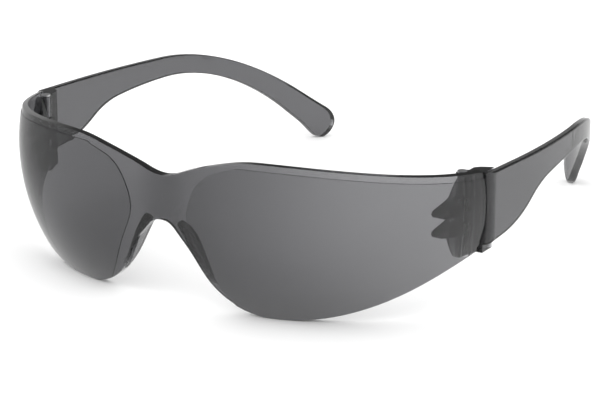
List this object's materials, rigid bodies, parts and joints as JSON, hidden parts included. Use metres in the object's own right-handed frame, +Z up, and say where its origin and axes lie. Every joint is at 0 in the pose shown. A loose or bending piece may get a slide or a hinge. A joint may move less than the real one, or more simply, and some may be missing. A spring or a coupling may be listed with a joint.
{
  "type": "safety glasses",
  "caption": "Frameless wraparound safety glasses: one-piece tinted lens with moulded nose rest and side arms that fold inwards on pinned hinges.",
  "frame": {"origin": "middle of the bounding box, on the surface that the lens and the temple tips stand on", "axes": "+X towards the wearer's left, +Z up, the lens faces -Y and the temples run towards +Y"},
  "size_m": [0.1426, 0.1524, 0.0421],
  "materials": {
    "lens": "smoke tinted clear polycarbonate, polished",
    "temple": "smoke tinted clear polycarbonate, polished",
    "pin": "bright headed pin"
  },
  "bodies": {
    "front": {"lens": "lens", "hinge_pin_left": "pin", "hinge_pin_right": "pin"},
    "temple_left": {"temple_left": "temple"},
    "temple_right": {"temple_right": "temple"}
  },
  "joints": [
    {"name": "temple_left_fold", "type": "hinge", "parent": "front", "child": "temple_left", "pos_m": [0.065, -0.03665, 0.0262], "axis": [0, 0, 1], "range_deg": [0, 83]},
    {"name": "temple_right_fold", "type": "hinge", "parent": "front", "child": "temple_right", "pos_m": [-0.065, -0.03665, 0.0262], "axis": [0, 0, -1], "range_deg": [0, 76]}
  ]
}
